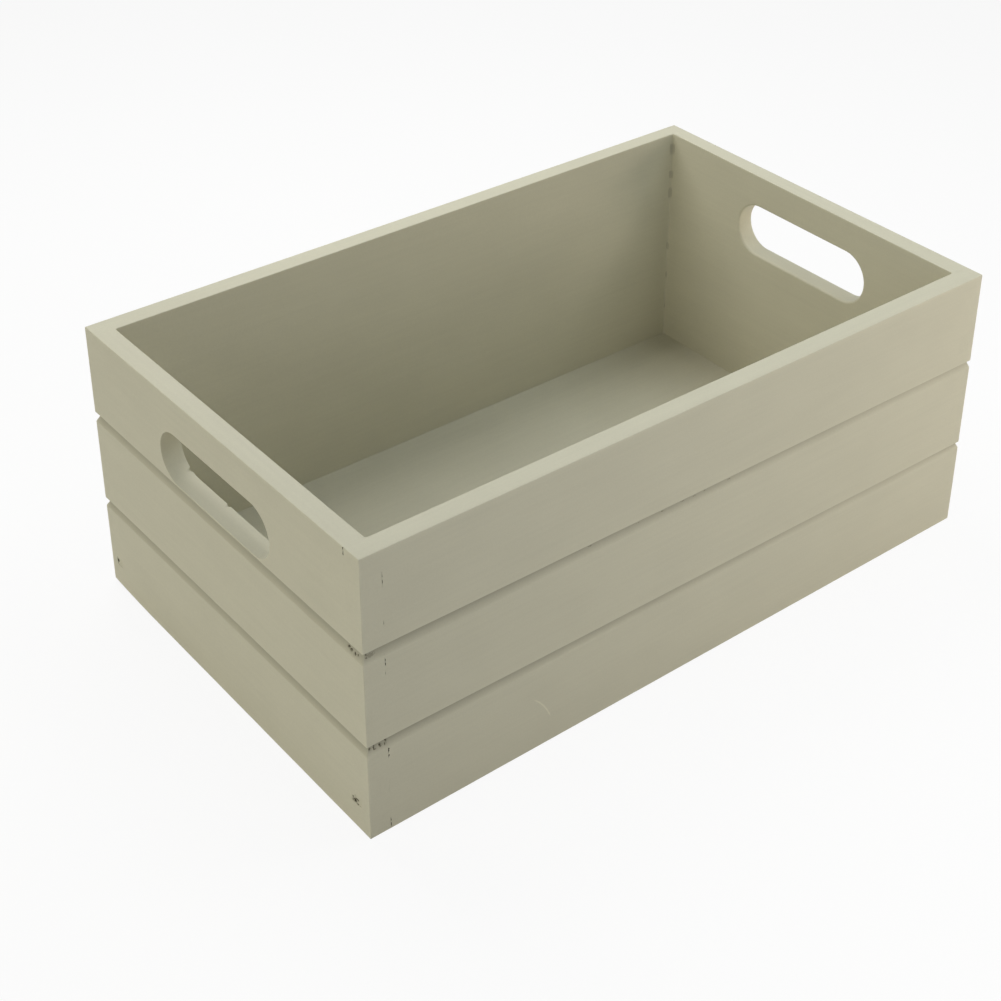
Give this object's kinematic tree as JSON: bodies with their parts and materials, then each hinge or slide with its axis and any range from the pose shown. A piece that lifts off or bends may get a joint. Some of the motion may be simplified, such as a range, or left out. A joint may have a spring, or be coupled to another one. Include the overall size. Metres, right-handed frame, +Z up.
{
  "type": "storage box",
  "caption": "Open-topped storage box in painted wood, with finger-jointed corners, V-grooved sides that look like stacked slats, a slotted-in bottom panel and a hand hole in each end.",
  "frame": {"origin": "where the box stands, under the middle of its foot", "axes": "+X along the long boards, +Y from the front board to the back board, +Z up"},
  "size_m": [0.264, 0.16, 0.105],
  "materials": {
    "painted_board": "satin sage-grey paint on sanded solid wood",
    "painted_panel": "satin sage-grey paint on thin plywood",
    "painted_filler": "rough wood filler under thin paint"
  },
  "bodies": {
    "root": {"front_wall": "painted_board", "back_wall": "painted_board", "left_wall": "painted_board", "right_wall": "painted_board", "bottom_panel": "painted_panel", "slot_filler_front_left": "painted_filler", "slot_filler_front_right": "painted_filler", "slot_filler_back_left": "painted_filler", "slot_filler_back_right": "painted_filler"}
  },
  "joints": []
}
